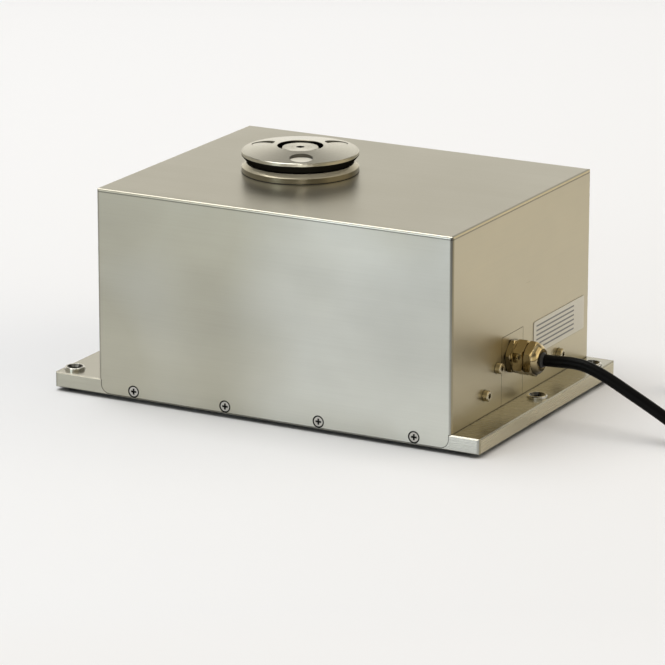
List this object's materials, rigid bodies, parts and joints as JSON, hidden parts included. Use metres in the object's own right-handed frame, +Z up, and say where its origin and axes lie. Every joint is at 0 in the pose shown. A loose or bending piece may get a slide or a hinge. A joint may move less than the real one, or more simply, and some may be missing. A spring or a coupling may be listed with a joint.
{
  "type": "precision weighing cell",
  "caption": "Precision weighing cell: brushed stainless hood on a thick base plate, round load plate, side cable gland and a force-compensating lever inside",
  "frame": {"origin": "centre of the base plate's footprint, at the level of the bushes' feet", "axes": "+X along the long side toward the cable gland, +Y toward the back, +Z up"},
  "size_m": [0.4044, 0.16, 0.1231],
  "materials": {
    "plate": "satin",
    "hood": "brushed",
    "turned": "polished",
    "screw": "satin",
    "brassy": "nickel plated, satin",
    "alloy": "milled",
    "spring": "satin",
    "soft_iron": "nickel plated",
    "magnet": "nickel plated",
    "copper": "enamelled wire",
    "black_plastic": "matt",
    "white_plastic": "matt",
    "board": "solder mask",
    "gold": "gold plated",
    "cable": "matt",
    "lead": "matt",
    "label": "satin",
    "seal": "matt"
  },
  "bodies": {
    "housing": {"base_plate": "plate", "mounting_bushes": "screw", "hood": "hood", "hood_blocks": "alloy", "hood_front_screws": "screw", "hood_back_screws": "screw", "hood_side_screws": "screw", "label_plate": "label", "gland_bracket": "hood", "bracket_side_screws": "screw", "bracket_foot_screws": "screw", "gland_locknut": "brassy", "gland_body": "brassy", "gland_dome_nut": "brassy", "gland_seal": "seal", "collar_gasket": "seal", "collar_ring": "turned", "collar_nut": "screw", "guide_carrier_screws": "screw", "system_carrier": "alloy", "carrier_screws": "screw", "magnet_pot": "soft_iron", "magnet": "magnet", "pole_piece": "soft_iron", "lever_flexures": "spring", "position_sensor": "black_plastic", "overload_stops": "screw", "lifter_guide_pins": "screw", "calibration_motor": "soft_iron", "circuit_board": "board", "board_bracket": "alloy", "board_standoffs": "gold", "board_chips": "black_plastic", "board_header": "white_plastic", "inner_lead": "lead", "cable": "cable", "cable_coil": "cable", "cable_tail": "cable", "coil_tie": "white_plastic", "connector_body": "soft_iron", "connector_insert": "black_plastic", "connector_pins": "gold"},
    "receptor": {"load_plate": "turned", "load_screw": "turned", "load_hanger": "alloy", "coupling_strip": "spring", "guide_hanger_screws": "screw"},
    "top_guide": {"upper_guide": "alloy"},
    "bottom_guide": {"lower_guide": "alloy"},
    "balance_lever": {"lever": "alloy", "coil_former": "white_plastic", "moving_coil": "copper", "sensor_vane": "black_plastic"},
    "lifter": {"weight_lifter": "alloy", "calibration_weight": "turned"},
    "spindle": {"lifter_spindle": "screw"},
    "plug_nut": {"connector_nut": "screw"}
  },
  "joints": [
    {"name": "load_travel", "type": "slide", "parent": "housing", "child": "receptor", "axis": [0, 0, 1], "range_m": [-0.00025, 0.0001], "stiffness_N_per_m": 200000},
    {"name": "top_guide_bend", "type": "hinge", "parent": "housing", "child": "top_guide", "pos_m": [0.0435, 0.003, 0.09], "axis": [0, 1, 0], "range_deg": [-0.327, 0.1308]},
    {"name": "bottom_guide_bend", "type": "hinge", "parent": "housing", "child": "bottom_guide", "pos_m": [0.0435, 0.003, 0.026], "axis": [0, 1, 0], "range_deg": [-0.327, 0.1308]},
    {"name": "lever_tilt", "type": "hinge", "parent": "housing", "child": "balance_lever", "pos_m": [0.0079, 0.003, 0.076], "axis": [0, 1, 0], "range_deg": [-1.24, 0.5]},
    {"name": "weight_lift", "type": "slide", "parent": "housing", "child": "lifter", "axis": [0, 0, 1], "range_m": [-0.003, 0]},
    {"name": "spindle_turn", "type": "hinge", "parent": "housing", "child": "spindle", "pos_m": [-0.0545, 0.003, 0.03], "axis": [0, 0, 1], "range_deg": [-182, 1]},
    {"name": "plug_nut_turn", "type": "hinge", "parent": "housing", "child": "plug_nut", "pos_m": [0.17, 0.0748, 0.00725], "axis": [-1, 0, 0], "continuous": true}
  ],
  "couplings": [
    {"joint": "top_guide_bend", "follows": "load_travel", "rad_per_m": 21.739},
    {"joint": "bottom_guide_bend", "follows": "load_travel", "rad_per_m": 21.739},
    {"joint": "lever_tilt", "follows": "load_travel", "rad_per_m": 82.305},
    {"joint": "spindle_turn", "follows": "weight_lift", "rad_per_m": 1047.2}
  ]
}
